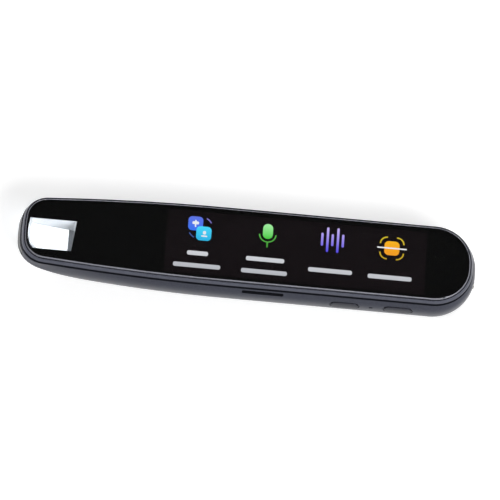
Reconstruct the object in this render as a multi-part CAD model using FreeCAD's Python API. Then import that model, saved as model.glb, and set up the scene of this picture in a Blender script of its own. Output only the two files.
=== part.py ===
import FreeCAD, Part
import math
import os

os.makedirs("parts", exist_ok=True)
V = FreeCAD.Vector

# The pen lies on its back: X runs along it with the scanning tip at -X, the side buttons face -Y,
# and the glass faces +Z. The origin is under the middle of the body. Sizes are in millimetres.

# Body
body_length = 146.0
body_width = 29.4
body_height = 14.0
tip_x = -body_length / 2
tail_x = body_length / 2

# Plan outline of the body at its widest level
tip_end_radius = 47.0
tip_corner_radius = body_width * 0.3
belly_flank_radius = 490.0
top_flank_radius = 720.0
full_width_from_tip = 66.0
tail_corner_margin = 1.0
tail_corner_radius = body_width / 2 - tail_corner_margin
tail_end_radius = 41.0

# Cross section of the rear shell
belly_height = 8.0
shoulder_width = 4.2
shell_rim_height = 11.4
shell_rim_inset = 0.95
tip_rise_length = 44.5
tip_rise_power = 1.4
shell_wall = 1.3

# Glass, its print and its glue
glass_thickness = 0.9
glass_edge_radius = 0.6
glass_inset = 2.1
glass_rim_gap = 0.06
print_thickness = 0.08
glue_thickness = 0.12
glue_edge_gap = 0.25

# Display
screen_from_tip = 46.8
screen_from_tail = 16.3
screen_side_margin = 3.8
panel_side_border = 0.7
panel_tip_border = 1.5
panel_tail_border = 3.0
cell_thickness = 0.7
backlight_thickness = 0.75
panel_gap = 0.2

# Sight window over the tip
window_length = 14.8
window_width = 10.5
window_from_tip = 2.9
window_center_y = -1.75
window_slant = 1.1
window_edge_margin = 0.9

# Middle frame
groove_width = 1.0
groove_depth = 0.2
frame_top_inset = 1.76
frame_top_drop = 0.28
lip_gap = 0.12
lip_wall = 0.9
lip_depth = 1.2
deck_thickness = 0.8

# Chassis plate and main board
chassis_thickness = 0.5
chassis_gap = 0.15
chassis_hole_margin = 16.0
chassis_hole_length = 14.0
chassis_hole_radius = 3.0
board_top_drop = 1.5
board_thickness = 0.8
board_behind_window = 15.3
board_from_tail = 5.0
board_key_gap = 0.25
board_far_margin = 3.5
board_corner_radius = 6.0
chip_seat = 0.02
shield_from_tip = 42.0
shield_length = 27.0
shield_height = 1.35
shield_wall = 0.2
shield_edge_margin = 1.6
shield_corner_radius = 0.6
chip_margin = 3.0
processor_length = 12.0
processor_height = 1.0
memory_length = 7.0
memory_height = 0.9

# Fixing posts and their screws
post_radius = 1.6
post_side_margin = 6.7
tip_post_gap = 4.0
battery_post_gap = 4.6
tail_post_from_tail = 7.0
screw_shank_radius = 0.65
screw_head_radius = 1.3
screw_head_height = 0.6
screw_length = 4.0
screw_hole_gap = 0.05

# Battery
battery_from_tip = 41.0
battery_from_tail = 53.0
battery_side_margin = 5.1
battery_thickness = 6.0
battery_tape_margin = 6.0
battery_board_length = 2.4
battery_board_height = 4.0
battery_board_drop = 0.8
battery_connector_length = 4.5
battery_connector_width = 6.0
battery_rib_thickness = 1.0
battery_rib_height = 1.6
battery_rib_gap = 0.5
battery_seat = 0.25
battery_tape_thickness = 0.2
battery_edge_radius = 1.6

# Rear plate and speaker
plate_tail_margin = 9.5
plate_run = 13.0
plate_side_margin = 5.7
plate_thickness = 0.6
plate_recess = 0.1
plate_glue_thickness = 0.08
plate_chamfer = 0.15
plate_side_gap = 0.2
dish_flare = 0.8
grille_margin = 1.0
slot_end_gap = 1.0
slot_edge_gap = 0.5
slots_per_group = 3
slot_width = 0.9
speaker_opening_margin = 1.0
speaker_edge_overlap = 0.4
speaker_depth = 3.6
mesh_thickness = 0.1
gasket_thickness = 0.6
gasket_width = 1.2
speaker_box_wall = 0.8
speaker_box_gap = 0.2
speaker_box_corner = 1.5

# Side buttons
button_length = 8.8
button_height = 3.2
button_center_z = 7.7
power_button_from_tail = 24.0
function_button_from_tail = 41.0
button_proud = 0.1
button_gap = 0.12
button_travel = 0.3
button_flange = 0.5
button_flange_thickness = 0.5
button_flange_gap = 0.12
button_rim_depth = 0.25
button_rim_width = 0.3
stem_radius = 0.7
stem_length = 1.0
stem_gap = 0.06
switch_length = 4.4
switch_height = 2.8
switch_depth = 1.2
key_board_thickness = 0.4
key_bracket_thickness = 0.3
key_board_margin = 5.0
key_strip_height = 4.2

# Microphone hole
microphone_from_tail = 32.6
microphone_hole_length = 1.3
microphone_hole_height = 0.8
microphone_length = 3.6
microphone_height = 2.6

# Card slot
card_slot_from_tip = 78.7
card_slot_length = 13.3
card_slot_height = 1.2
card_socket_wall = 0.15
card_socket_depth = 12.5
card_socket_height = 1.4
card_socket_gap = 0.25

# USB-C port
usb_width = 8.94
usb_height = 3.2
usb_wall = 0.3
usb_depth = 7.3
usb_setback = 0.15
usb_gap = 0.12
usb_opening_depth = 6.0
usb_tongue_width = 6.7
usb_tongue_thickness = 0.7
usb_tongue_setback = 0.8

# Clear nose
nose_width = 14.0
nose_short_of_window = 1.7
nose_flare = 0.7
nose_corner_radius = 2.0
nose_wall = 1.0
nose_travel = 0.4
nose_side_gap = 0.15
nose_end_gap = 0.2
nose_flange = 1.3
nose_flange_gap = 0.2
nose_top_gap = 0.3
nose_rib_width = 1.6
nose_rib_gap = 1.6
nose_rib_thickness = 1.0
nose_rib_height = 6.4
nose_switch_z = 5.4
nose_switch_size = 2.2
nose_stem_radius = 0.4
nose_flange_top = 9.6

# Sight tunnel, lights and camera
tunnel_wall = 0.7
tunnel_gap = 0.35
tunnel_front_step = 0.4
tunnel_knee = 2.6
tunnel_back_z = 5.4
camera_view_top = 9.2
tunnel_top_gap = 0.1
light_board_gap = 0.9
light_board_thickness = 0.6
light_board_end = 0.3
light_board_bottom = 2.0
light_opening_width = 9.4
light_opening_top = 9.6
light_size = 1.3
light_depth = 0.6
light_low_z = 7.6
light_pitch = 2.0
camera_behind_window = 5.8
camera_z = 7.0
camera_tilt = 20.0
camera_length = 6.0
camera_width = 8.6
camera_height = 5.4
lens_radius = 2.2
lens_length = 1.6
camera_board_thickness = 0.8

# Small flat parts
flex_thickness = 0.15
flex_width = 12.0
flex_reach = 1.6
camera_flex_width = 5.0
camera_flex_reach = 6.0
antenna_length = 30.0
antenna_height = 2.1

# Heights worked out from the stack under the glass
glass_bottom = body_height - glass_thickness
print_bottom = glass_bottom - print_thickness
deck_top = print_bottom - glue_thickness
deck_bottom = deck_top - deck_thickness
cell_top = print_bottom - 0.02
cell_bottom = cell_top - cell_thickness
backlight_bottom = cell_bottom - backlight_thickness
chassis_top = backlight_bottom
chassis_bottom = chassis_top - chassis_thickness
board_top = chassis_bottom - board_top_drop
board_bottom = board_top - board_thickness
card_socket_bottom = board_top + chip_seat
frame_bottom = shell_rim_height + groove_width
lip_bottom = shell_rim_height - lip_depth

# Places worked out from the sizes above
screen_x0 = tip_x + screen_from_tip
screen_x1 = tail_x - screen_from_tail
screen_width = body_width - 2 * screen_side_margin
panel_x0 = screen_x0 - panel_tip_border
panel_x1 = screen_x1 + panel_tail_border
panel_half = screen_width / 2 + panel_side_border
window_x0 = tip_x + window_from_tip
window_x1 = window_x0 + window_length
tunnel_x0 = window_x0 - tunnel_wall
tunnel_x1 = window_x1 + tunnel_wall
tunnel_half = window_width / 2 + tunnel_wall
plate_radius = body_width / 2 - plate_side_margin
plate_center_x = tail_x - plate_tail_margin - plate_radius - plate_run / 2
plate_length = plate_run + 2 * plate_radius
grille_x = plate_center_x + plate_run / 2
rhombus_side = plate_radius - grille_margin
slot_length = rhombus_side - slot_end_gap
slot_step = (rhombus_side - slot_edge_gap) / slots_per_group
speaker_opening_radius = plate_radius - speaker_opening_margin
speaker_radius = speaker_opening_radius + speaker_edge_overlap
power_button_x = tail_x - power_button_from_tail
function_button_x = tail_x - function_button_from_tail
microphone_x = tail_x - microphone_from_tail
card_slot_x = tip_x + card_slot_from_tip
camera_x = window_x1 + camera_behind_window
board_start_x = window_x1 + board_behind_window
board_end_x = tail_x - board_from_tail
board_far_side = body_width / 2 - board_far_margin
battery_start_x = tip_x + battery_from_tip
battery_end_x = tail_x - battery_from_tail
battery_width = body_width - 2 * battery_side_margin
post_y = body_width / 2 - post_side_margin
post_rows = [board_start_x + tip_post_gap, battery_end_x + battery_post_gap, tail_x - tail_post_from_tail]
post_places = [(x, side * post_y) for x in post_rows for side in (-1, 1)]
nose_end_x = window_x1 - nose_short_of_window
light_board_x = tunnel_x1 + light_board_gap
plate_floor = plate_recess + plate_thickness + plate_glue_thickness


def box(x0, x1, y0, y1, z0, z1):
    return Part.makeBox(x1 - x0, y1 - y0, z1 - z0, V(x0, y0, z0))


def cylinder_z(x, y, z0, z1, radius):
    return Part.makeCylinder(radius, z1 - z0, V(x, y, z0))


def cylinder_y(x, z, y0, y1, radius):
    return Part.makeCylinder(radius, y1 - y0, V(x, y0, z), V(0, 1, 0))


def cylinder_x(y, z, x0, x1, radius):
    return Part.makeCylinder(radius, x1 - x0, V(x0, y, z), V(1, 0, 0))


def pill_z(x, y, length, radius, z0, z1):
    """An upright prism with round ends, lying along X."""
    run = length / 2 - radius
    middle = box(x - run, x + run, y - radius, y + radius, z0, z1)
    ends = [cylinder_z(x - run, y, z0, z1, radius), cylinder_z(x + run, y, z0, z1, radius)]
    return middle.fuse(ends).removeSplitter()


def pill_y(x, z, length, height, y0, y1):
    """A prism along Y with round ends, lying along X."""
    radius = height / 2
    run = length / 2 - radius
    middle = box(x - run, x + run, y0, y1, z - radius, z + radius)
    ends = [cylinder_y(x - run, z, y0, y1, radius), cylinder_y(x + run, z, y0, y1, radius)]
    return middle.fuse(ends).removeSplitter()


def pill_x(y, z, width, height, x0, x1):
    """A prism along X with round ends, lying along Y."""
    radius = height / 2
    run = width / 2 - radius
    middle = box(x0, x1, y - run, y + run, z - radius, z + radius)
    ends = [cylinder_x(y - run, z, x0, x1, radius), cylinder_x(y + run, z, x0, x1, radius)]
    return middle.fuse(ends).removeSplitter()


def rounded_box(x0, x1, y0, y1, z0, z1, radius):
    """A box with its four upright edges rounded."""
    solid = box(x0, x1, y0, y1, z0, z1)
    upright = [e for e in solid.Edges if abs(e.tangentAt(e.FirstParameter).z) > 0.9]
    return solid.makeFillet(radius, upright)


def circle_meet(center_a, radius_a, center_b, radius_b):
    """The crossing of two circles that lies nearer the tip."""
    gap_x = center_b[0] - center_a[0]
    gap_y = center_b[1] - center_a[1]
    gap = math.hypot(gap_x, gap_y)
    along = (radius_a ** 2 - radius_b ** 2 + gap ** 2) / (2 * gap)
    side = math.sqrt(radius_a ** 2 - along ** 2)
    base_x = center_a[0] + along * gap_x / gap
    base_y = center_a[1] + along * gap_y / gap
    first = (base_x - side * gap_y / gap, base_y + side * gap_x / gap)
    second = (base_x + side * gap_y / gap, base_y - side * gap_x / gap)
    return min(first, second)


def on_circle(center, radius, angle):
    return (center[0] + radius * math.cos(angle), center[1] + radius * math.sin(angle))


def outline(inset, tip_back, z, flank_radius=top_flank_radius):
    """The body's plan outline, drawn in by inset, with its tip end moved back by tip_back."""
    half = body_width / 2 - inset
    flank = flank_radius - inset
    tip_corner = tip_corner_radius - inset
    tip_end = tip_end_radius - inset
    tail_corner = tail_corner_radius - inset
    tail_end = tail_end_radius - inset
    full_x = tip_x + full_width_from_tip

    flank_center = (full_x, half - flank)
    tip_center = (tip_x + inset + tip_back + tip_end, 0.0)
    corner = circle_meet(flank_center, flank - tip_corner, tip_center, tip_end - tip_corner)
    flank_angle = math.atan2(corner[1] - flank_center[1], corner[0] - flank_center[0])
    tip_angle = math.atan2(corner[1], corner[0] - tip_center[0])

    tail_center = (tail_x - inset - tail_end, 0.0)
    rise = half - tail_corner
    tail_cx = tail_center[0] + math.sqrt((tail_end - tail_corner) ** 2 - rise ** 2)
    tail_angle = math.atan2(rise, tail_cx - tail_center[0])

    tip_point = on_circle(tip_center, tip_end, tip_angle)
    shoulder = on_circle(flank_center, flank, flank_angle)
    tip_mid = on_circle(corner, tip_corner, (tip_angle + flank_angle) / 2)
    flank_mid = on_circle(flank_center, flank, (flank_angle + math.pi / 2) / 2)
    tail_mid = on_circle((tail_cx, rise), tail_corner, (tail_angle + math.pi / 2) / 2)
    tail_point = on_circle(tail_center, tail_end, tail_angle)

    def at(point, side):
        return V(point[0], side * point[1], z)

    def arc(first, middle, last):
        return Part.Arc(first, middle, last).toShape()

    tip_top = V(tip_center[0] - tip_end, 0, z)
    tail_top = V(tail_x - inset, 0, z)
    edges = [arc(at(tip_point, 1), tip_top, at(tip_point, -1))]
    edges.append(arc(at(tip_point, -1), at(tip_mid, -1), at(shoulder, -1)))
    edges.append(arc(at(shoulder, -1), at(flank_mid, -1), V(full_x, -half, z)))
    edges.append(Part.makeLine(V(full_x, -half, z), V(tail_cx, -half, z)))
    edges.append(arc(V(tail_cx, -half, z), at(tail_mid, -1), at(tail_point, -1)))
    edges.append(arc(at(tail_point, -1), tail_top, at(tail_point, 1)))
    edges.append(arc(at(tail_point, 1), at(tail_mid, 1), V(tail_cx, half, z)))
    edges.append(Part.makeLine(V(tail_cx, half, z), V(full_x, half, z)))
    edges.append(arc(V(full_x, half, z), at(flank_mid, 1), at(shoulder, 1)))
    edges.append(arc(at(shoulder, 1), at(tip_mid, 1), at(tip_point, 1)))
    return Part.Wire(edges)


def slab(inset, z0, z1, flank_radius=top_flank_radius):
    """A straight prism on the plan outline."""
    return Part.Face(outline(inset, 0.0, z0, flank_radius)).extrude(V(0, 0, z1 - z0))


def hull(depth, top=None):
    """The belly of the body, drawn in by depth from the outer skin, up to the height top."""
    top = shell_rim_height if top is None else top
    wires = []
    steps = 8
    for step in range(steps, 0, -1):
        angle = math.pi / 2 * step / steps
        z = belly_height - (belly_height - depth) * math.sin(angle)
        inset = depth + (shoulder_width - depth) * (1 - math.cos(angle))
        tip_back = tip_rise_length * (step / steps) ** tip_rise_power
        wires.append(outline(inset, tip_back, z, belly_flank_radius))
    rise = shell_rim_height - belly_height
    for level in range(4):
        z = belly_height + (top - belly_height) * level / 3
        share = ((z - belly_height) / rise) ** 2
        bend = (1 - share) / belly_flank_radius + share / top_flank_radius
        wires.append(outline(depth + shell_rim_inset * share, 0.0, z, 1 / bend))
    return Part.makeLoft(wires, True, False)


def wall_y(z, depth):
    """Half width of the straight part of the body at a height, drawn in by depth."""
    if z < belly_height:
        angle = math.asin((belly_height - z) / (belly_height - depth))
        return body_width / 2 - depth - (shoulder_width - depth) * (1 - math.cos(angle))
    rise = (z - belly_height) / (shell_rim_height - belly_height)
    return body_width / 2 - depth - shell_rim_inset * rise ** 2


def save(shape, name):
    shape = shape.removeSplitter()
    shape.exportStep("parts/" + name + ".step")
    print(name, "solids", len(shape.Solids), "volume", round(shape.Volume, 2), shape.isValid())


# Glass and what lies right under it

def window_prism(margin, z0, z1):
    """The sight window: its ends lean a little and its tip end follows the edge of the glass."""
    half = window_width / 2 + margin
    lean = window_slant / 2
    low = window_center_y - half
    high = window_center_y + half
    points = [V(window_x0 - margin - lean, low, z0), V(window_x1 + margin - lean, low, z0)]
    points.append(V(window_x1 + margin + lean, high, z0))
    points.append(V(window_x0 - margin + lean, high, z0))
    points.append(points[0])
    window = Part.Face(Part.makePolygon(points)).extrude(V(0, 0, z1 - z0))
    return window.common(slab(glass_inset + window_edge_margin - margin, z0, z1))


def screen_prism(margin, z0, z1):
    half = screen_width / 2 + margin
    return box(screen_x0 - margin, screen_x1 + margin, -half, half, z0, z1)


def panel_prism(margin, z0, z1):
    return box(panel_x0 - margin, panel_x1 + margin, -panel_half - margin, panel_half + margin, z0, z1)


def cover_glass():
    glass = slab(glass_inset, glass_bottom, body_height)
    top_edges = [e for e in glass.Edges if e.BoundBox.ZMin > body_height - 0.01]
    return glass.makeFillet(glass_edge_radius, top_edges)


def glass_print():
    sheet = slab(glass_inset + glue_edge_gap, print_bottom, glass_bottom)
    sheet = sheet.cut(screen_prism(0.0, print_bottom - 1, body_height))
    return sheet.cut(window_prism(0.0, print_bottom - 1, body_height))


def glass_glue():
    sheet = slab(glass_inset + glue_edge_gap, deck_top, print_bottom)
    sheet = sheet.cut(panel_prism(panel_gap + 0.1, deck_top - 1, body_height))
    return sheet.cut(window_prism(0.3, deck_top - 1, body_height))


def display_cell():
    return panel_prism(0.0, cell_bottom, cell_top)


def display_backlight():
    return panel_prism(0.0, backlight_bottom, cell_bottom)


def tunnel_prism(grow, z0, z1):
    """A block round the sight window, rounded where the body's tip comes in, grown by grow."""
    half = window_width / 2 + grow
    block = box(window_x0 - grow, window_x1 + grow, window_center_y - half, window_center_y + half, z0, z1)
    inset = shell_wall + nose_flange_gap + nose_wall + tunnel_gap + tunnel_wall - grow
    tip_room = slab(inset, z0, z1, belly_flank_radius)
    tip_room.translate(V(nose_travel, 0, 0))
    return block.common(tip_room)


# Middle frame and chassis

def middle_frame():
    skin_heights = [0.0, 0.3, 0.65, 1.0]
    band_height = body_height - frame_top_drop - frame_bottom
    first_inset = shell_rim_inset + groove_depth
    wires = []
    for share in skin_heights:
        inset = first_inset + (frame_top_inset - first_inset) * share ** 1.6
        wires.append(outline(inset, 0.0, frame_bottom + band_height * share))
    frame = Part.makeLoft(wires, True, False)
    rim = glass_inset - glass_rim_gap
    lip_outer = shell_wall + shell_rim_inset + lip_gap
    lip = slab(lip_outer, lip_bottom, frame_bottom)
    lip = lip.cut(slab(lip_outer + lip_wall, lip_bottom - 1, frame_bottom + 1))
    frame = frame.cut(slab(rim, deck_top, body_height + 1))
    frame = frame.cut(slab(lip_outer + lip_wall, frame_bottom - 1, deck_bottom))
    frame = frame.fuse(lip)
    frame = frame.cut(panel_prism(panel_gap, lip_bottom - 1, body_height))
    frame = frame.cut(tunnel_prism(tunnel_wall + 0.15, lip_bottom - 1, body_height))
    frame = frame.cut(flex_room(lip_bottom, cell_bottom + 0.1))
    nose_room = nose_width / 2 + nose_flange + 0.4
    frame = frame.cut(box(tip_x, nose_end_x, -nose_room, nose_room, lip_bottom - 1,
                          shell_rim_height))
    card_half = card_slot_length / 2 + 0.3
    card_top = card_socket_bottom + card_socket_height + 0.15
    card_room = box(card_slot_x - card_half, card_slot_x + card_half, -body_width, 0, 0, card_top)
    return frame.cut(card_room)


def flex_room(z0, z1):
    """The way down for the display's ribbon, just past the panel's tail end."""
    half = flex_width / 2 + 1.0
    return box(panel_x1 - 0.5, panel_x1 + flex_reach + 0.8, -half, half, z0, z1)


def chassis_plate():
    inset = shell_wall + shell_rim_inset + lip_gap + lip_wall + chassis_gap
    plate = slab(inset, chassis_bottom, chassis_top)
    plate = plate.cut(box(tip_x, tunnel_x1 + 0.3, -body_width, body_width, 0, body_height))
    plate = plate.cut(flex_room(chassis_bottom - 1, chassis_top + 1))
    for x in (screen_x0 + chassis_hole_margin, screen_x1 - chassis_hole_margin):
        plate = plate.cut(pill_z(x, 0, chassis_hole_length, chassis_hole_radius, 0, body_height))
    return plate


# Rear shell

def nose_prism(gap, end_gap, z0, z1):
    """The plan shape of the nose opening, a little wider at the tip end and drawn in by the gaps."""
    half_end = nose_width / 2 - gap
    half_tip = half_end + nose_flare
    x_tip = tip_x - 2
    x_end = nose_end_x - end_gap
    points = [V(x_tip, -half_tip, z0), V(x_end, -half_end, z0), V(x_end, half_end, z0)]
    points.append(V(x_tip, half_tip, z0))
    points.append(points[0])
    solid = Part.Face(Part.makePolygon(points)).extrude(V(0, 0, z1 - z0))
    corners = [e for e in solid.Edges if abs(e.tangentAt(e.FirstParameter).z) > 0.9]
    corners = [e for e in corners if e.Vertexes[0].Point.x > tip_x]
    return solid.makeFillet(nose_corner_radius, corners)


def dish_cut():
    """The shallow dish round the rear plate, deepest at the plate's seat."""
    run = plate_length / 2 - plate_radius

    def stadium(radius, z):
        left = plate_center_x - run
        right = plate_center_x + run
        edges = [Part.makeLine(V(left, -radius, z), V(right, -radius, z))]
        edges.append(Part.Arc(V(right, -radius, z), V(right + radius, 0, z), V(right, radius, z)).toShape())
        edges.append(Part.makeLine(V(right, radius, z), V(left, radius, z)))
        edges.append(Part.Arc(V(left, radius, z), V(left - radius, 0, z), V(left, -radius, z)).toShape())
        return Part.Wire(edges)

    seat_radius = plate_radius + plate_side_gap
    flare = Part.makeLoft([stadium(seat_radius + dish_flare, -0.01), stadium(seat_radius, 0.35)], True)
    seat = Part.Face(stadium(seat_radius, -0.01)).extrude(V(0, 0, plate_floor + 0.01))
    return flare.fuse(seat)


def rear_shell():
    shell = hull(0.0).cut(hull(shell_wall, shell_rim_height + 0.5))
    posts = []
    for x, y in post_places:
        posts.append(cylinder_z(x, y, 0.5, board_bottom, post_radius))
    rib_half = battery_width / 2 - 2.6
    for x in (battery_start_x - battery_rib_gap - battery_rib_thickness,
              battery_end_x + battery_board_length + battery_rib_gap):
        posts.append(box(x, x + battery_rib_thickness, -rib_half, rib_half, 0.5,
                         shell_wall + battery_rib_height))
    inner_fit = hull(shell_wall / 2, shell_rim_height)
    for post in posts:
        shell = shell.fuse(post.common(inner_fit))
    for x, y in post_places:
        hole_bottom = board_top - screw_length - 0.3
        shell = shell.cut(cylinder_z(x, y, hole_bottom, board_top, screw_shank_radius + screw_hole_gap))
    shell = shell.cut(nose_prism(0.0, 0.0, -1, body_height))
    shell = shell.cut(dish_cut())
    shell = shell.cut(cylinder_z(grille_x, 0, 0, 3, speaker_opening_radius))
    outer_y = -body_width / 2 - 1
    inner_y = -wall_y(button_center_z, shell_wall) + 1
    for x in (power_button_x, function_button_x):
        length = button_length + 2 * button_gap
        height = button_height + 2 * button_gap
        shell = shell.cut(pill_y(x, button_center_z, length, height, outer_y, inner_y))
        rim_y = -wall_y(button_center_z, button_rim_depth)
        grow = 2 * button_rim_width
        shell = shell.cut(pill_y(x, button_center_z, length + grow, height + grow, outer_y, rim_y))
    mic_hole = pill_y(microphone_x, button_center_z, microphone_hole_length, microphone_hole_height,
                      outer_y, inner_y)
    shell = shell.cut(mic_hole)
    slot_z = card_socket_bottom + card_socket_height / 2
    shell = shell.cut(pill_y(card_slot_x, slot_z, card_slot_length, card_slot_height, outer_y, inner_y + 2))
    usb_z = board_bottom - usb_height / 2 - 0.05
    width = usb_width + 2 * usb_gap
    height = usb_height + 2 * usb_gap
    return shell.cut(pill_x(0, usb_z, width, height, tail_x - usb_opening_depth, tail_x + 1))


# Rear plate and speaker

def grille_slot(x, y, angle, z0, z1):
    slot = pill_z(0, 0, slot_length, slot_width / 2, z0, z1)
    slot.rotate(V(0, 0, 0), V(0, 0, 1), angle)
    slot.translate(V(x, y, 0))
    return slot


def grille_slots(z0, z1):
    """Three groups of three slots, each group one face of a cube seen from its corner."""
    slots = []
    for group in range(3):
        turn = 120.0 * group
        center_angle = math.radians(turn - 30.0)
        step_angle = math.radians(turn + 90.0)
        center_x = grille_x + rhombus_side / 2 * math.cos(center_angle)
        center_y = rhombus_side / 2 * math.sin(center_angle)
        for number in (-1, 0, 1):
            x = center_x + number * slot_step * math.cos(step_angle)
            y = center_y + number * slot_step * math.sin(step_angle)
            slots.append(grille_slot(x, y, turn + 30.0, z0, z1))
    return slots


def rear_plate():
    top = plate_recess + plate_thickness
    plate = pill_z(plate_center_x, 0, plate_length, plate_radius, plate_recess, top)
    low_edges = [e for e in plate.Edges if e.BoundBox.ZMax < plate_recess + 0.01]
    plate = plate.makeChamfer(plate_chamfer, low_edges)
    for slot in grille_slots(-1, 3):
        plate = plate.cut(slot)
    return plate


def rear_plate_glue():
    bottom = plate_recess + plate_thickness
    glue = pill_z(plate_center_x, 0, plate_length - 0.6, plate_radius - 0.3, bottom, plate_floor)
    return glue.cut(cylinder_z(grille_x, 0, 0, 3, speaker_opening_radius))


def speaker_mesh():
    return cylinder_z(grille_x, 0, shell_wall + 0.02, shell_wall + 0.02 + mesh_thickness, speaker_radius)


def speaker_gasket():
    bottom = shell_wall + 0.02 + mesh_thickness
    ring = cylinder_z(grille_x, 0, bottom, bottom + gasket_thickness, speaker_radius)
    return ring.cut(cylinder_z(grille_x, 0, 0, 5, speaker_radius - gasket_width))


def speaker_driver():
    bottom = shell_wall + 0.02 + mesh_thickness + gasket_thickness
    frame = cylinder_z(grille_x, 0, bottom, bottom + 1.2, speaker_radius)
    cone = Part.makeCone(speaker_radius - 1.0, 2.5, 0.9, V(grille_x, 0, bottom))
    magnet = cylinder_z(grille_x, 0, bottom + 1.2, bottom + speaker_depth, speaker_radius * 0.7)
    return frame.cut(cone).fuse(magnet)


def speaker_box():
    half = speaker_radius + speaker_box_gap + speaker_box_wall
    top = board_bottom - 0.1
    outer = rounded_box(grille_x - half, grille_x + half, -half, half, shell_wall + 0.05, top,
                        speaker_box_corner)
    inner_half = half - speaker_box_wall
    inner = box(grille_x - inner_half, grille_x + inner_half, -inner_half, inner_half,
                0, top - speaker_box_wall)
    return outer.cut(inner)


# Boards and what they carry

def main_board():
    key_side = key_bracket_back_y() + board_key_gap
    board = rounded_box(board_start_x, board_end_x, key_side, board_far_side,
                        board_bottom, board_top, board_corner_radius)
    for x, y in post_places:
        board = board.cut(cylinder_z(x, y, 0, body_height, screw_shank_radius + screw_hole_gap))
    return board


def board_screws():
    screws = []
    for x, y in post_places:
        seat = board_top + chip_seat
        shank = cylinder_z(x, y, seat - screw_length, seat, screw_shank_radius)
        head = cylinder_z(x, y, seat, seat + screw_head_height, screw_head_radius)
        driver_slot = box(x - screw_head_radius, x + screw_head_radius, y - 0.2, y + 0.2,
                          seat + screw_head_height * 0.5, seat + screw_head_height + 1)
        screws.append(shank.fuse(head).cut(driver_slot))
    return Part.makeCompound(screws)


def shield_box(margin, z0, z1):
    """The shield can's block, drawn in by margin."""
    x0 = tip_x + shield_from_tip + margin
    x1 = tip_x + shield_from_tip + shield_length - margin
    y0 = key_bracket_back_y() + board_key_gap + shield_edge_margin + margin
    y1 = board_far_side - shield_edge_margin - margin
    return rounded_box(x0, x1, y0, y1, z0, z1, shield_corner_radius - margin)


def shield_can():
    z0 = board_top + chip_seat
    can = shield_box(0.0, z0, z0 + shield_height)
    return can.cut(shield_box(shield_wall, z0 - 1, z0 + shield_height - shield_wall))


def chip(x0, length, height):
    """A chip on the board under the shield can."""
    y0 = key_bracket_back_y() + board_key_gap + shield_edge_margin + chip_margin
    y1 = board_far_side - shield_edge_margin - chip_margin
    z0 = board_top + chip_seat
    return box(x0, x0 + length, y0, y1, z0, z0 + height)


def processor_chip():
    return chip(tip_x + shield_from_tip + chip_margin, processor_length, processor_height)


def memory_chip():
    x0 = tip_x + shield_from_tip + shield_length - chip_margin - memory_length
    return chip(x0, memory_length, memory_height)


def card_socket():
    half = card_slot_length / 2
    z0 = card_socket_bottom
    z1 = z0 + card_socket_height
    y0 = -wall_y(z1, shell_wall) + card_socket_gap
    y1 = y0 + card_socket_depth
    socket = box(card_slot_x - half, card_slot_x + half, y0, y1, z0, z1)
    wall = card_socket_wall
    mouth = box(card_slot_x - half + wall, card_slot_x + half - wall, y0 - 1, y1 - 0.6,
                z0 + wall, z1 - wall)
    return socket.cut(mouth)


def usb_port_shell():
    z = board_bottom - usb_height / 2 - 0.05
    x1 = tail_x - usb_setback
    outer = pill_x(0, z, usb_width, usb_height, x1 - usb_depth, x1)
    inner = pill_x(0, z, usb_width - 2 * usb_wall, usb_height - 2 * usb_wall,
                   x1 - usb_depth + 0.5, x1 + 1)
    return outer.cut(inner)


def usb_port_tongue():
    z = board_bottom - usb_height / 2 - 0.05
    half_width = usb_tongue_width / 2
    half_thickness = usb_tongue_thickness / 2
    x1 = tail_x - usb_setback - usb_tongue_setback
    x0 = tail_x - usb_setback - usb_depth + 0.5
    return box(x0, x1, -half_width, half_width, z - half_thickness, z + half_thickness)


def battery_cell():
    z0 = shell_wall + battery_seat
    half = battery_width / 2
    cell = box(battery_start_x, battery_end_x, -half, half, z0, z0 + battery_thickness)
    long_edges = [e for e in cell.Edges if abs(e.tangentAt(e.FirstParameter).x) > 0.9]
    return cell.makeFillet(battery_edge_radius, long_edges)


def battery_tape():
    x0 = battery_start_x + battery_tape_margin
    x1 = battery_end_x - battery_tape_margin
    half = battery_width / 2 - battery_edge_radius - 0.5
    z1 = shell_wall + battery_seat
    return box(x0, x1, -half, half, z1 - battery_tape_thickness, z1)


def battery_board():
    x0 = battery_end_x + 0.05
    z1 = shell_wall + battery_seat + battery_thickness - battery_board_drop
    half = battery_width / 2 - battery_edge_radius
    return box(x0, x0 + battery_board_length, -half, half, z1 - battery_board_height, z1)


def battery_connector():
    x0 = battery_end_x - battery_connector_length / 2
    half = battery_connector_width / 2
    z0 = shell_wall + battery_seat + battery_thickness + 0.1
    return box(x0, x0 + battery_connector_length, -half, half, z0, board_bottom)


def display_flex():
    x0 = panel_x1 + 0.05
    x1 = panel_x1 + flex_reach
    half = flex_width / 2
    foot = box(x0, x1, -half, half, cell_bottom - flex_thickness, cell_bottom)
    drop = box(x1 - flex_thickness, x1, -half, half, board_top + chip_seat, cell_bottom)
    return foot.fuse(drop)


def wifi_antenna():
    z1 = belly_height + antenna_height
    y1 = wall_y(z1, shell_wall) - 0.1
    x0 = tip_x + full_width_from_tip + 1.0
    return box(x0, x0 + antenna_length, y1 - flex_thickness, y1, belly_height, z1)


# Side buttons

def button_back_y():
    """The inner face of a button's cap, where its retaining flange starts."""
    reach = button_height / 2 + button_flange
    narrowest = min(wall_y(button_center_z + reach, shell_wall), wall_y(button_center_z - reach, shell_wall))
    return -narrowest + button_flange_gap


def stem_end_y():
    return button_back_y() + button_flange_thickness + stem_length


def switch_front_y():
    return button_back_y() + button_flange_thickness + button_travel + 0.15


def key_bracket_back_y():
    return switch_front_y() + switch_depth + key_board_thickness + key_bracket_thickness


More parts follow.
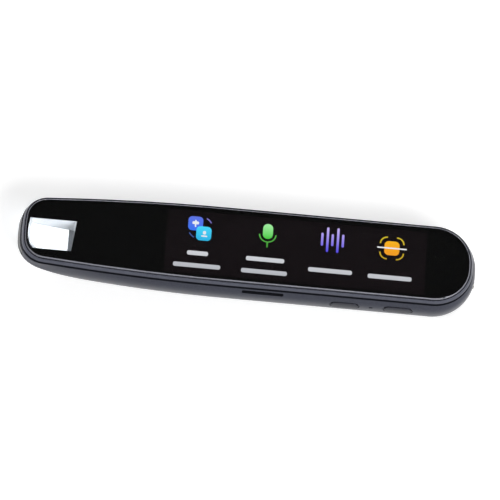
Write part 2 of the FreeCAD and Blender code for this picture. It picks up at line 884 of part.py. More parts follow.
def side_button(x):
    back = button_back_y()
    cap = pill_y(x, button_center_z, button_length, button_height, -body_width, back)
    cap = cap.common(hull(-button_proud))
    flange = pill_y(x, button_center_z, button_length + 2 * button_flange,
                    button_height + 2 * button_flange, back, back + button_flange_thickness)
    return cap.fuse(flange)


def button_stem(x):
    y0 = button_back_y() + button_flange_thickness
    return cylinder_y(x, button_center_z, y0, stem_end_y(), stem_radius)


def key_switches():
    y0 = switch_front_y()
    switches = []
    for x in (power_button_x, function_button_x):
        body = box(x - switch_length / 2, x + switch_length / 2, y0, y0 + switch_depth,
                   button_center_z - switch_height / 2, button_center_z + switch_height / 2)
        room_end = stem_end_y() + button_travel + 0.1
        room = cylinder_y(x, button_center_z, y0 - 1, room_end, stem_radius + stem_gap)
        switches.append(body.cut(room))
    return Part.makeCompound(switches)


def key_strip(y0, y1):
    """A flat strip that stands behind both buttons."""
    x0 = min(power_button_x, function_button_x) - key_board_margin
    x1 = max(power_button_x, function_button_x) + key_board_margin
    half = key_strip_height / 2
    return box(x0, x1, y0, y1, button_center_z - half, button_center_z + half)


def key_board():
    y0 = switch_front_y() + switch_depth
    return key_strip(y0, y0 + key_board_thickness)


def key_bracket():
    y1 = key_bracket_back_y()
    return key_strip(y1 - key_bracket_thickness, y1)


def microphone():
    y1 = switch_front_y() + switch_depth
    half = microphone_length / 2
    half_height = microphone_height / 2
    return box(microphone_x - half, microphone_x + half, y1 - 1.0, y1,
               button_center_z - half_height, button_center_z + half_height)


def microphone_boot():
    boot_height = microphone_height - 0.4
    y0 = -wall_y(button_center_z + boot_height / 2, shell_wall) + 0.1
    y1 = switch_front_y() + switch_depth - 1.0
    boot = pill_y(microphone_x, button_center_z, microphone_length - 0.4, boot_height, y0, y1)
    hole = pill_y(microphone_x, button_center_z, microphone_hole_length, microphone_hole_height,
                  y0 - 1, y1 + 1)
    return boot.cut(hole)


# Clear nose and the camera behind it

def nose_cover():
    back_gap = nose_travel + nose_end_gap
    skin_cut = nose_prism(nose_side_gap, back_gap, -1, shell_rim_height - nose_top_gap)
    depth = shell_wall + nose_flange_gap
    skin = hull(0.0).cut(hull(depth + 0.01))
    skin = skin.common(skin_cut)
    wide = nose_width / 2 + nose_flange
    flange_cut = box(tip_x + depth + nose_travel + 0.3, nose_end_x - back_gap + nose_flange + 0.6,
                     -wide, wide, 0, nose_flange_top)
    flange = hull(depth).cut(hull(depth + nose_wall)).common(flange_cut)
    cover = skin.fuse(flange)
    x1 = nose_end_x - back_gap + nose_flange + 0.6
    y0 = nose_rib_y() - nose_rib_width / 2
    rib = box(x1 - nose_rib_thickness, x1, y0, y0 + nose_rib_width, 0, nose_rib_height)
    return cover.fuse(rib.common(hull(depth + 0.2)))


def nose_rib_y():
    """The rib that works the nose switch stands beside the tunnel, on the far side."""
    return window_center_y + tunnel_half + nose_rib_gap + nose_rib_width / 2


def nose_rib_x():
    return nose_end_x - nose_travel - nose_end_gap + nose_flange + 0.6


def nose_switch():
    y_mid = nose_rib_y()
    x0 = nose_rib_x() + nose_travel + 0.2
    half = nose_switch_size / 2
    body = box(x0, light_board_x, y_mid - half, y_mid + half, nose_switch_z - half, nose_switch_z + half)
    room = cylinder_x(y_mid, nose_switch_z, x0 - 1, nose_rib_x() + nose_travel + 0.45,
                      nose_stem_radius + stem_gap)
    return body.cut(room)


def nose_switch_stem():
    return cylinder_x(nose_rib_y(), nose_switch_z, nose_rib_x(), nose_rib_x() + 0.4, nose_stem_radius)


def sight_tunnel():
    """A shaft from the sight window down to the nose, cut away below so that the nose can move in."""
    tunnel = tunnel_prism(tunnel_wall, 0, deck_top - tunnel_top_gap)
    tunnel = tunnel.cut(tunnel_prism(0.0, -1, body_height))
    front_z = nose_flange_top + tunnel_gap
    knee_z = belly_height + tunnel_gap
    side_y = -body_width / 2
    points = [V(tunnel_x0 - 1, side_y, -1), V(tunnel_x0 - 1, side_y, front_z)]
    points.append(V(window_x0 + tunnel_front_step, side_y, front_z))
    points.append(V(window_x0 + tunnel_knee, side_y, knee_z))
    points.append(V(tunnel_x1 + 1, side_y, tunnel_back_z))
    points.append(V(tunnel_x1 + 1, side_y, -1))
    points.append(points[0])
    below = Part.Face(Part.makePolygon(points)).extrude(V(0, body_width, 0))
    tunnel = tunnel.cut(below)
    low = window_center_y - light_opening_width / 2 + 0.4
    high = window_center_y + light_opening_width / 2 - 0.4
    return tunnel.cut(box(window_x1 - 1, tunnel_x1 + 1, low, high, 0, camera_view_top))


def light_board():
    low = window_center_y - light_opening_width / 2 - 2 * light_size
    high = nose_rib_y() + nose_switch_size / 2 + light_board_end
    board = box(light_board_x, light_board_x + light_board_thickness, low, high, light_board_bottom,
                chassis_bottom - 0.1)
    board = board.common(hull(shell_wall + 0.3))
    low = window_center_y - light_opening_width / 2
    high = window_center_y + light_opening_width / 2
    return board.cut(box(light_board_x - 1, light_board_x + 2, low, high, 0, light_opening_top))


def light_emitters():
    emitters = []
    reach = light_opening_width / 2 + light_size
    for y_mid in (window_center_y - reach, window_center_y + reach):
        for z in (light_low_z, light_low_z + light_pitch):
            emitters.append(box(light_board_x - light_depth, light_board_x, y_mid - light_size / 2,
                                y_mid + light_size / 2, z - light_size / 2, z + light_size / 2))
    return Part.makeCompound(emitters)


def aim_camera(shape):
    """Turn a shape built on the X axis so that it looks forward and down through the nose."""
    shape.rotate(V(0, 0, 0), V(0, 1, 0), -camera_tilt)
    shape.translate(V(camera_x, window_center_y, camera_z))
    return shape


def camera_holder():
    half = camera_length / 2
    body = box(-half, half, -camera_width / 2, camera_width / 2, -camera_height / 2, camera_height / 2)
    body = body.cut(cylinder_x(0, 0, -half - 1, half - 0.8, lens_radius - 0.5))
    body = body.cut(cylinder_x(0, 0, -half - 1, -half + 0.6, lens_radius + 0.05))
    return aim_camera(body)


def camera_lens():
    half = camera_length / 2
    barrel = cylinder_x(0, 0, -half - lens_length, -half + 0.6, lens_radius)
    dimple = Part.makeSphere(lens_radius * 1.6, V(-half - lens_length - lens_radius * 1.35, 0, 0))
    return aim_camera(barrel.cut(dimple))


def camera_board():
    half = camera_length / 2
    board = box(half + 0.02, half + camera_board_thickness, -camera_width / 2, camera_width / 2,
                -camera_height / 2, camera_height / 2)
    return aim_camera(board)


def camera_flex():
    slope = math.radians(camera_tilt)
    z0 = board_top + chip_seat
    reach = camera_length / 2 + camera_board_thickness
    up = (z0 - camera_z - reach * math.sin(slope)) / math.cos(slope)
    x0 = camera_x + reach * math.cos(slope) - up * math.sin(slope) + 0.15
    half = camera_flex_width / 2
    return box(x0, board_start_x + camera_flex_reach, window_center_y - half, window_center_y + half,
               z0, z0 + flex_thickness)


save(cover_glass(), "cover_glass")
save(glass_print(), "glass_print")
save(glass_glue(), "glass_glue")
save(display_cell(), "display_cell")
save(display_backlight(), "display_backlight")
save(middle_frame(), "middle_frame")
save(chassis_plate(), "chassis_plate")
save(rear_shell(), "rear_shell")
save(rear_plate(), "rear_plate")
save(rear_plate_glue(), "rear_plate_glue")
save(speaker_mesh(), "speaker_mesh")
save(speaker_gasket(), "speaker_gasket")
save(speaker_driver(), "speaker_driver")
save(speaker_box(), "speaker_box")
save(main_board(), "main_board")
save(board_screws(), "board_screws")
save(shield_can(), "shield_can")
save(processor_chip(), "processor_chip")
save(memory_chip(), "memory_chip")
save(card_socket(), "card_socket")
save(usb_port_shell(), "usb_port_shell")
save(usb_port_tongue(), "usb_port_tongue")
save(battery_cell(), "battery_cell")
save(battery_tape(), "battery_tape")
save(battery_board(), "battery_board")
save(battery_connector(), "battery_connector")
save(display_flex(), "display_flex")
save(wifi_antenna(), "wifi_antenna")
save(side_button(power_button_x), "power_button")
save(side_button(function_button_x), "function_button")
save(button_stem(power_button_x), "power_button_stem")
save(button_stem(function_button_x), "function_button_stem")
save(key_switches(), "key_switches")
save(key_board(), "key_board")
save(key_bracket(), "key_bracket")
save(microphone(), "microphone")
save(microphone_boot(), "microphone_boot")
save(nose_cover(), "nose_cover")
save(nose_switch(), "nose_switch")
save(nose_switch_stem(), "nose_switch_stem")
save(sight_tunnel(), "sight_tunnel")
save(light_board(), "light_board")
save(light_emitters(), "light_emitters")
save(camera_holder(), "camera_holder")
save(camera_lens(), "camera_lens")
save(camera_board(), "camera_board")
save(camera_flex(), "camera_flex")
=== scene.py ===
import math

import bmesh
import bpy
from mathutils import Matrix, Vector


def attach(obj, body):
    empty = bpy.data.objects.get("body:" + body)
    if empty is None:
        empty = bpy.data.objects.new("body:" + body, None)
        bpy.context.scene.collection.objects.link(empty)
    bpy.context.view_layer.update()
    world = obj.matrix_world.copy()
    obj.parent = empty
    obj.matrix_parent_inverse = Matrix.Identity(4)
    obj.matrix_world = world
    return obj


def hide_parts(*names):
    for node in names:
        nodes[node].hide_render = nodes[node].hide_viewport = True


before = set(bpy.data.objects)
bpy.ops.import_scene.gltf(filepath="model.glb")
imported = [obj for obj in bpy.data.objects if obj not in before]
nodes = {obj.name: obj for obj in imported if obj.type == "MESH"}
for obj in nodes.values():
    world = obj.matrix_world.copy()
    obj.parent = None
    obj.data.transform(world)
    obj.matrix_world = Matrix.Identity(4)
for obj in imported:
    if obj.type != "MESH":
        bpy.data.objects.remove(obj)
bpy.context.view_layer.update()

MM = 0.001


# Shader helpers

def colour(code):
    """An sRGB hex code as the linear colour that the shader wants."""
    parts = [int(code[i:i + 2], 16) / 255 for i in (1, 3, 5)]
    linear = [p / 12.92 if p <= 0.04045 else ((p + 0.055) / 1.055) ** 2.4 for p in parts]
    return (*linear, 1.0)


def per_mm(size):
    """The texture scale, per metre, that gives a feature of this size in millimetres."""
    return 1 / (size * MM)


def wave_scale(size):
    """The wave texture's scale for one wave per size in millimetres."""
    return per_mm(size) / 6.28


def add(tree, kind, inputs=None, **settings):
    """Adds a node with its settings, and links or sets its inputs."""
    node = tree.nodes.new(kind)
    for name, value in settings.items():
        setattr(node, name, value)
    for name, value in (inputs or {}).items():
        if isinstance(value, bpy.types.NodeSocket):
            tree.links.new(value, node.inputs[name])
        else:
            node.inputs[name].default_value = value
    return node


def ramp(tree, factor, stops):
    """A colour ramp from a factor through (place, hex) stops."""
    node = add(tree, "ShaderNodeValToRGB", {"Fac": factor})
    while len(node.color_ramp.elements) < len(stops):
        node.color_ramp.elements.new(0.5)
    for element, (place, code) in zip(node.color_ramp.elements, stops):
        element.position = place
        element.color = colour(code)
    return node.outputs["Color"]


def spread(tree, factor, low, high):
    """Stretches a 0 to 1 pattern to the range low to high."""
    node = add(tree, "ShaderNodeMapRange", {"Value": factor, "To Min": low, "To Max": high})
    return node.outputs["Result"]


def new_material(name):
    material = bpy.data.materials.new(name)
    material.use_nodes = True
    tree = material.node_tree
    tree.nodes.clear()
    place = add(tree, "ShaderNodeTexCoord").outputs["Object"]
    return material, tree, place


def finish_with(tree, shader):
    add(tree, "ShaderNodeOutputMaterial", {"Surface": shader.outputs[0]})


def grained(name, stops, grain, roughness, bump, stretch=(1, 1, 1), **principled):
    """A surface whose colour, gloss and relief all follow one grain, sized in millimetres."""
    material, tree, place = new_material(name)
    stretched = add(tree, "ShaderNodeMapping", {"Vector": place, "Scale": stretch})
    noise = add(tree, "ShaderNodeTexNoise",
                {"Vector": stretched.outputs["Vector"], "Scale": per_mm(grain), "Detail": 4.0,
                 "Roughness": 0.6})
    pattern = noise.outputs["Fac"]
    relief = add(tree, "ShaderNodeBump", {"Height": pattern, "Strength": bump, "Distance": grain * MM * 0.2})
    inputs = {"Base Color": ramp(tree, pattern, stops),
              "Roughness": spread(tree, pattern, *roughness),
              "Normal": relief.outputs["Normal"]}
    for key, value in principled.items():
        inputs[key.replace("_", " ")] = value
    finish_with(tree, add(tree, "ShaderNodeBsdfPrincipled", inputs))
    return material


# Finishes of the outside

# ABS sprayed with a fine metal-flake paint: dark blue-grey whose gloss is tinted like the paint itself.
# The grain is drawn at 0.5 mm, coarser than the paint's own, so that it shows.
shell_satin = grained("flake_painted_abs", [(0.35, "#3d3f49"), (0.65, "#464852")], 0.5, (0.3, 0.38), 0.06,
                      Metallic=0.85)

# Gloss-moulded polycarbonate band under a tinted lacquer: shinier and paler than the shell under it.
band_gloss = grained("lacquered_polycarbonate", [(0.3, "#4e505b"), (0.7, "#575964")], 1.2, (0.16, 0.22),
                     0.03, Metallic=0.85)

# The buttons are the shell's ABS with a spark-eroded texture, so a little darker and duller.
button_satin = grained("spark_textured_abs", [(0.3, "#2b2c34"), (0.7, "#33343e")], 0.4, (0.34, 0.42), 0.1,
                       Metallic=0.7)

# Brushed and anodised aluminium: long fine lines along the body that smear the light across them.
brushed_plate = grained("brushed_anodised_aluminium", [(0.3, "#555668"), (0.7, "#666879")], 0.25,
                        (0.28, 0.42), 0.16, stretch=(0.02, 1, 1), Metallic=1.0, Anisotropic=0.6)

# Pad-printed ink under the glass: dead black with hardly any texture of its own.
black_ink = grained("screen_printed_black_ink", [(0.3, "#020202"), (0.7, "#040404")], 0.3, (0.5, 0.65), 0.02,
                    Specular_IOR_Level=0.0)

# Painted highlight on the cover glass's rounded edge: a pale grey that stands in for the bright reflection
# along it, softly bright, a fine line round the black.
glass_edge_painted_highlight = grained("painted_highlight_glass_edge", [(0.3, "#84858f"), (0.7, "#94959f")], 0.6, (0.22, 0.32), 0.03)


def finish_clear(tree, shader, tint):
    """Ends a clear material, which lets the lamps' light straight through in the tint."""
    clear = add(tree, "ShaderNodeBsdfTransparent", {"Color": colour(tint)})
    rays = add(tree, "ShaderNodeLightPath")
    mixed = add(tree, "ShaderNodeMixShader", {"Fac": rays.outputs["Is Shadow Ray"]})
    tree.links.new(shader.outputs[0], mixed.inputs[1])
    tree.links.new(clear.outputs[0], mixed.inputs[2])
    finish_with(tree, mixed)


# Glass refracts at 1.5. This lower index stands for a coat that reflects less.
COATED_GLASS_INDEX = 1.25


def strengthened_glass():
    """Chemically strengthened glass with a coat that cuts reflections: clear and faintly smeared."""
    material, tree, place = new_material("strengthened_glass")
    smears = add(tree, "ShaderNodeTexNoise", {"Vector": place, "Scale": per_mm(9.0), "Detail": 3.0})
    glass = add(tree, "ShaderNodeBsdfPrincipled",
                {"Base Color": colour("#f7f9fb"), "Roughness": spread(tree, smears.outputs["Fac"], 0.0, 0.02),
                 "IOR": COATED_GLASS_INDEX, "Transmission Weight": 1.0, "Specular IOR Level": 0.12})
    finish_clear(tree, glass, "#f7f9fb")
    return material


# The clear nose goes from bare to printed between these heights.
NOSE_PRINT_STARTS, NOSE_PRINT_FULL = 7.6, 8.6


def clear_polycarbonate():
    """Clear polycarbonate with slow flow marks, its upper rim printed nearly black to hide the joint."""
    material, tree, place = new_material("clear_moulded_polycarbonate")
    flow = add(tree, "ShaderNodeTexNoise", {"Vector": place, "Scale": per_mm(5.0), "Detail": 2.0})
    split = add(tree, "ShaderNodeSeparateXYZ", {"Vector": place})
    height = add(tree, "ShaderNodeMapRange",
                 {"Value": split.outputs["Z"], "From Min": NOSE_PRINT_STARTS * MM,
                  "From Max": NOSE_PRINT_FULL * MM})
    tint = ramp(tree, height.outputs["Result"], [(0.0, "#f6f8fa"), (1.0, "#1d1e24")])
    see_through = spread(tree, height.outputs["Result"], 1.0, 0.25)
    relief = add(tree, "ShaderNodeBump", {"Height": flow.outputs["Fac"], "Strength": 0.05, "Distance": MM})
    plastic = add(tree, "ShaderNodeBsdfPrincipled",
                  {"Base Color": tint, "Roughness": spread(tree, height.outputs["Result"], 0.03, 0.22),
                   "IOR": 1.58, "Transmission Weight": see_through, "Specular IOR Level": 0.25,
                   "Normal": relief.outputs["Normal"]})
    finish_clear(tree, plastic, "#f2f5f8")
    return material


def lit_display():
    """A colour display showing black: a faint warm glow in pixel rows, drawn at 0.4 mm so that they show."""
    material, tree, place = new_material("liquid_crystal_cell")
    rows = add(tree, "ShaderNodeTexWave", {"Vector": place, "Scale": wave_scale(0.4), "Distortion": 0.0},
               bands_direction="Y")
    glow = ramp(tree, rows.outputs["Fac"], [(0.0, "#080506"), (1.0, "#0e090b")])
    cell = add(tree, "ShaderNodeBsdfPrincipled",
               {"Base Color": glow, "Emission Color": glow, "Emission Strength": 0.35, "Roughness": 0.6,
                "Specular IOR Level": 0.0})
    finish_with(tree, cell)
    return material


def lit_ink(name, first, last, low, high):
    """Light from the display in one colour, running from first to last up the screen, low to high in mm."""
    material, tree, place = new_material(name)
    split = add(tree, "ShaderNodeSeparateXYZ", {"Vector": place})
    level = add(tree, "ShaderNodeMapRange",
                {"Value": split.outputs["Y"], "From Min": low * MM, "From Max": high * MM})
    tone = ramp(tree, level.outputs["Result"], [(0.0, first), (1.0, last)])
    glow = add(tree, "ShaderNodeBsdfPrincipled",
               {"Base Color": colour("#050505"), "Emission Color": tone, "Emission Strength": 1.0,
                "Roughness": 0.6, "Specular IOR Level": 0.1})
    finish_with(tree, glow)
    return material


glass = strengthened_glass()
clear_plastic = clear_polycarbonate()
display = lit_display()

# Finishes of the inside

# Pale matt polycarbonate of the sight tunnel, made to scatter the lamps' light over the page.
white_polycarbonate = grained("matt_white_polycarbonate", [(0.3, "#dfe1e4"), (0.7, "#e8eaec")], 0.8,
                              (0.5, 0.6), 0.05)
# Bright white polyester film, the palest thing inside.
white_film = grained("white_polyester_film", [(0.3, "#f8f8f8"), (0.7, "#ffffff")], 0.8, (0.4, 0.5), 0.02)
# Glass-filled nylon: dull black with pale fibres just under the skin.
black_nylon = grained("glass_filled_nylon", [(0.3, "#141416"), (0.75, "#232326")], 0.5, (0.5, 0.68), 0.14)
# Silicone rubber: deep matt black with a bloom of dust.
black_silicone = grained("moulded_silicone_rubber", [(0.3, "#101011"), (0.8, "#1d1d1f")], 0.7,
                         (0.7, 0.85), 0.08)
# Acrylic foam tape: grey cells with a slightly greasy sheen.
foam_tape = grained("acrylic_foam_tape", [(0.3, "#26272a"), (0.7, "#3a3b3f")], 0.4, (0.6, 0.8), 0.25)
# Tin-plated spring steel: cool grey with faint rolling lines.
tinned_steel = grained("tin_plated_steel", [(0.3, "#8f9297"), (0.7, "#a9acb1")], 0.3, (0.26, 0.4), 0.08,
                       stretch=(0.05, 1, 1), Metallic=1.0)
# Bright nickel of the port's shell.
nickel = grained("nickel_plated_steel", [(0.3, "#a8a6a0"), (0.7, "#bdbbb5")], 0.5, (0.18, 0.28), 0.04,
                 Metallic=1.0)
# Epoxy and glass board under green mask, whose weave shows as a faint mottling.
solder_mask = grained("green_solder_mask", [(0.35, "#0d3b26"), (0.65, "#13502f")], 0.6, (0.3, 0.42), 0.1)
# Transfer-moulded epoxy of a chip.
chip_epoxy = grained("moulded_chip_epoxy", [(0.3, "#17181a"), (0.7, "#212225")], 0.2, (0.45, 0.6), 0.12)
# Laminated aluminium pouch of the cell: soft creases over a silver-grey film.
pouch_foil = grained("laminated_pouch_foil", [(0.3, "#8b8e94"), (0.7, "#a5a8ad")], 4.0, (0.3, 0.45), 0.35,
                     Metallic=0.7)
# Polyimide ribbon: amber film over lines of copper.
polyimide = grained("polyimide_ribbon", [(0.4, "#7a4a18"), (0.6, "#b06f2a")], 0.5, (0.3, 0.4), 0.1,
                    stretch=(0.05, 1, 0.05))
# Ground and coated optical glass of the reading lens: near black with a violet cast.
coated_lens = grained("coated_optical_glass", [(0.3, "#07060c"), (0.7, "#120f22")], 2.0, (0.03, 0.07), 0.01,
                      Coat_Weight=1.0, Coat_Roughness=0.02)
# Diffuser film over the light guide.
diffuser_film = grained("opal_diffuser_film", [(0.3, "#e6e8ea"), (0.7, "#f0f1f2")], 0.5, (0.5, 0.6), 0.04)
# Yellow phosphor over the small lamps.
phosphor = grained("phosphor_in_silicone", [(0.3, "#d9b83a"), (0.7, "#e6c954")], 0.3, (0.4, 0.5), 0.1)


def woven_mesh():
    """Woven polyester mesh: threads 0.35 mm apart over and under each other, dark between."""
    material, tree, place = new_material("woven_polyester_mesh")
    threads = {}
    for way in ("X", "Y"):
        wave = add(tree, "ShaderNodeTexWave", {"Vector": place, "Scale": wave_scale(0.35)},
                   bands_direction=way)
        threads[way] = wave.outputs["Fac"]
    both = add(tree, "ShaderNodeMath", operation="MAXIMUM")
    tree.links.new(threads["X"], both.inputs[0])
    tree.links.new(threads["Y"], both.inputs[1])
    weave = both.outputs["Value"]
    relief = add(tree, "ShaderNodeBump", {"Height": weave, "Strength": 0.6, "Distance": 0.05 * MM})
    cloth = add(tree, "ShaderNodeBsdfPrincipled",
                {"Base Color": ramp(tree, weave, [(0.3, "#050505"), (0.9, "#24252a")]), "Roughness": 0.8,
                 "Normal": relief.outputs["Normal"]})
    finish_with(tree, cloth)
    return material


mesh_cloth = woven_mesh()

NODE_FINISH = {
    "glass_print": black_ink,
    "glass_glue": foam_tape,
    "display_cell": display,
    "display_backlight": diffuser_film,
    "middle_frame": band_gloss,
    "chassis_plate": tinned_steel,
    "rear_shell": shell_satin,
    "rear_plate": brushed_plate,
    "rear_plate_glue": foam_tape,
    "speaker_mesh": mesh_cloth,
    "speaker_gasket": black_silicone,
    "speaker_driver": black_nylon,
    "speaker_box": black_nylon,
    "main_board": solder_mask,
    "board_screws": tinned_steel,
    "shield_can": tinned_steel,
    "processor_chip": chip_epoxy,
    "memory_chip": chip_epoxy,
    "card_socket": tinned_steel,
    "usb_port_shell": nickel,
    "usb_port_tongue": black_nylon,
    "battery_cell": pouch_foil,
    "battery_tape": foam_tape,
    "battery_board": solder_mask,
    "battery_connector": black_nylon,
    "display_flex": polyimide,
    "wifi_antenna": polyimide,
    "power_button": button_satin,
    "function_button": button_satin,
    "power_button_stem": black_nylon,
    "function_button_stem": black_nylon,
    "key_switches": tinned_steel,
    "key_board": solder_mask,
    "key_bracket": tinned_steel,
    "microphone": nickel,
    "microphone_boot": black_silicone,
    "nose_cover": clear_plastic,
    "nose_switch": chip_epoxy,
    "nose_switch_stem": black_nylon,
    "sight_tunnel": white_polycarbonate,
    "light_board": solder_mask,
    "light_emitters": phosphor,
    "camera_holder": black_nylon,
    "camera_lens": coated_lens,
    "camera_board": solder_mask,
    "camera_flex": polyimide,
    "cover_glass": glass,
}
for name, material in NODE_FINISH.items():
    mesh = nodes[name].data
    mesh.materials.clear()
    mesh.materials.append(material)


# Making pieces

def deselect():
    if bpy.context.object and bpy.context.object.mode == "EDIT":
        bpy.ops.object.mode_set(mode="OBJECT")
    bpy.ops.object.select_all(action="DESELECT")


def settle(name, material, body="body"):
    """Names the piece just made, fixes its place in its mesh and sets what it rides on and is made of."""
    piece = bpy.context.object
    bpy.ops.object.transform_apply(location=True, rotation=True, scale=True)
    piece.name = name
    piece.data.materials.clear()
    piece.data.materials.append(material)
    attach(piece, body)
    return piece


def select_edges(test):
    """In edit mode, selects the edges whose direction and middle pass the test."""
    bpy.ops.mesh.select_mode(type="EDGE")
    bpy.ops.mesh.select_all(action="DESELECT")
    cage = bmesh.from_edit_mesh(bpy.context.object.data)
    for edge in cage.edges:
        first, second = edge.verts[0].co, edge.verts[1].co
        if test((second - first).normalized(), (first + second) / 2):
            edge.select_set(True)
    cage.select_flush_mode()
    bmesh.update_edit_mesh(bpy.context.object.data)


# What the display shows, as thin lit shapes just over the cell, under the glass

LIT_BOTTOM = 13.015
LIT_THICKNESS = 0.03


def lit_tile(name, x, y, width, height, corner, material, level=0):
    """A flat lit shape with rounded corners, with its place and size in millimetres."""
    deselect()
    bottom = LIT_BOTTOM + level * LIT_THICKNESS
    bpy.ops.mesh.primitive_cube_add(size=1, location=(x * MM, y * MM, (bottom + LIT_THICKNESS / 2) * MM))
    bpy.context.object.scale = (width * MM, height * MM, LIT_THICKNESS * MM)
    bpy.ops.object.transform_apply(location=True, rotation=True, scale=True)
    bpy.ops.object.mode_set(mode="EDIT")
    select_edges(lambda way, middle: abs(way.z) > 0.9)
    bpy.ops.mesh.bevel(offset=corner * MM, segments=5)
    bpy.ops.object.mode_set(mode="OBJECT")
    return settle(name, material)


def lit_ring(name, x, y, radius, line, start, end, material, level=0):
    """A lit arc of the given radius and line width, from one angle to another in degrees."""
    deselect()
    bottom = LIT_BOTTOM + level * LIT_THICKNESS
    bpy.ops.mesh.primitive_plane_add(
        size=1, location=((x + radius) * MM, y * MM, (bottom + LIT_THICKNESS / 2) * MM),
        rotation=(math.pi / 2, 0, 0))
    bpy.context.object.scale = (line * MM, LIT_THICKNESS * MM, 1)
    bpy.ops.object.transform_apply(location=True, rotation=True, scale=True)
    bpy.ops.object.mode_set(mode="EDIT")
    bpy.ops.mesh.select_all(action="SELECT")
    bpy.ops.transform.rotate(value=-math.radians(start), orient_axis="Z",
                             center_override=(x * MM, y * MM, 0))
    bpy.ops.mesh.select_all(action="SELECT")
    bpy.ops.mesh.spin(steps=16, angle=-math.radians(end - start), center=(x * MM, y * MM, 0), axis=(0, 0, 1))
    bpy.ops.mesh.select_all(action="SELECT")
    bpy.ops.mesh.remove_doubles(threshold=1e-7)
    bpy.ops.mesh.normals_make_consistent(inside=False)
    bpy.ops.object.mode_set(mode="OBJECT")
    return settle(name, material)


white_light = lit_ink("lit_white_pixels", "#d9dade", "#f4f4f6", -9, 9)
caption_light = lit_ink("lit_grey_pixels", "#b9babf", "#d6d7da", -9, -3)
blue_light = lit_ink("lit_blue_pixels", "#2f73f6", "#5f74e6", 4, 9)
deep_blue_light = lit_ink("lit_deep_blue_pixels", "#2f4f94", "#3f62ac", 1, 5)
pale_violet_light = lit_ink("lit_pale_violet_pixels", "#6d66b4", "#8079cc", 6, 9)
cyan_light = lit_ink("lit_cyan_pixels", "#1fb4e6", "#45dcff", 0.8, 5.8)
green_light = lit_ink("lit_green_pixels", "#46cf3a", "#a8f2a4", 3.6, 8.7)
leaf_light = lit_ink("lit_leaf_green_pixels", "#3f9a2e", "#5cc04a", 0.5, 5)
violet_light = lit_ink("lit_violet_pixels", "#4b43e6", "#c9b4f4", 0.8, 9.4)
orange_light = lit_ink("lit_orange_pixels", "#f79a12", "#ffb60a", 1.6, 6.7)
yellow_light = lit_ink("lit_yellow_pixels", "#c9a417", "#d8c01e", 0, 8.2)

# Photo translation: two overlapping cards with plain marks, and two turning arcs
lit_tile("lit_card_back", -17.2, 6.6, 4.7, 4.9, 1.3, blue_light)
lit_tile("lit_card_front", -14.4, 3.3, 4.8, 4.9, 1.3, cyan_light, level=1)
lit_tile("lit_card_back_mark", -17.2, 6.8, 2.1, 1.0, 0.4, white_light, level=2)
lit_tile("lit_card_back_stem", -17.2, 6.6, 0.45, 2.5, 0.2, white_light, level=1)
lit_tile("lit_card_front_mark", -14.2, 3.6, 1.0, 1.2, 0.4, white_light, level=2)
lit_tile("lit_card_front_foot", -14.2, 2.4, 1.9, 0.5, 0.2, white_light, level=2)
lit_ring("lit_arc_high", -15.6, 5.2, 3.9, 0.38, 30, 62, pale_violet_light)
lit_ring("lit_arc_low", -15.6, 5.2, 3.9, 0.38, 210, 242, deep_blue_light)

# Voice: a microphone
lit_tile("lit_microphone_head", 5.9, 6.1, 3.2, 5.2, 1.55, green_light)
lit_ring("lit_microphone_cradle", 5.9, 5.0, 2.6, 0.38, 180, 360, leaf_light)
lit_tile("lit_microphone_post", 5.9, 1.5, 0.5, 2.0, 0.2, leaf_light)

# Listening: five bars of sound
BAR_PLACES = (23.27, 25.0, 26.56, 28.28, 29.9)
BAR_HEIGHTS = (4.5, 8.6, 4.2, 8.6, 4.5)
for number, (x, height) in enumerate(zip(BAR_PLACES, BAR_HEIGHTS)):
    lit_tile("lit_sound_bar_%d" % number, x, 5.13, 0.75, height, 0.36, violet_light)

# Scanning: a card in the rounded corners of a viewfinder, with a bright line across
SCAN_X, SCAN_Y = 45.6, 4.15
lit_tile("lit_scan_card", SCAN_X, SCAN_Y, 4.8, 4.9, 1.4, orange_light)
lit_tile("lit_scan_line", SCAN_X, SCAN_Y, 9.5, 0.46, 0.2, white_light, level=2)
for number, (side_x, side_y) in enumerate(((1, 1), (-1, 1), (-1, -1), (1, -1))):
    turn = 90 * number
    lit_ring("lit_scan_corner_%d" % number, SCAN_X + side_x * 1.45, SCAN_Y + side_y * 1.5, 2.3, 0.42,
             turn, turn + 90, yellow_light)

# Captions, as plain bars in place of words
CAPTIONS = (("photo_high", -15.9, -3.7, 6.7), ("photo_low", -15.9, -8.0, 15.0),
            ("voice_high", 5.6, -3.8, 12.2), ("voice_low", 5.5, -8.1, 14.6),
            ("listen", 26.4, -5.7, 14.0), ("scan", 45.4, -6.1, 14.0))
for name, x, y, width in CAPTIONS:
    lit_tile("lit_caption_" + name, x, y, width, 1.5, 0.6, caption_light)


# Pieces that start from a merged copy of a CAD node, with flat faces made whole

def whole_copy(node, name):
    deselect()
    piece = bpy.data.objects.new(name, nodes[node].data.copy())
    bpy.context.scene.collection.objects.link(piece)
    bpy.context.view_layer.objects.active = piece
    piece.select_set(True)
    bpy.ops.object.mode_set(mode="EDIT")
    bpy.ops.mesh.select_all(action="SELECT")
    bpy.ops.mesh.remove_doubles(threshold=1e-6)
    bpy.ops.mesh.dissolve_limited(angle_limit=math.radians(0.5))
    bpy.ops.object.mode_set(mode="OBJECT")
    return piece


def even_shading(piece, angle):
    """Smooths across edges flatter than the angle and lets the large flat faces set the shading."""
    bpy.ops.object.shade_smooth_by_angle(angle=math.radians(angle))
    weight = piece.modifiers.new("even_shading", "WEIGHTED_NORMAL")
    weight.keep_sharp = True
    bpy.ops.object.modifier_apply(modifier=weight.name)


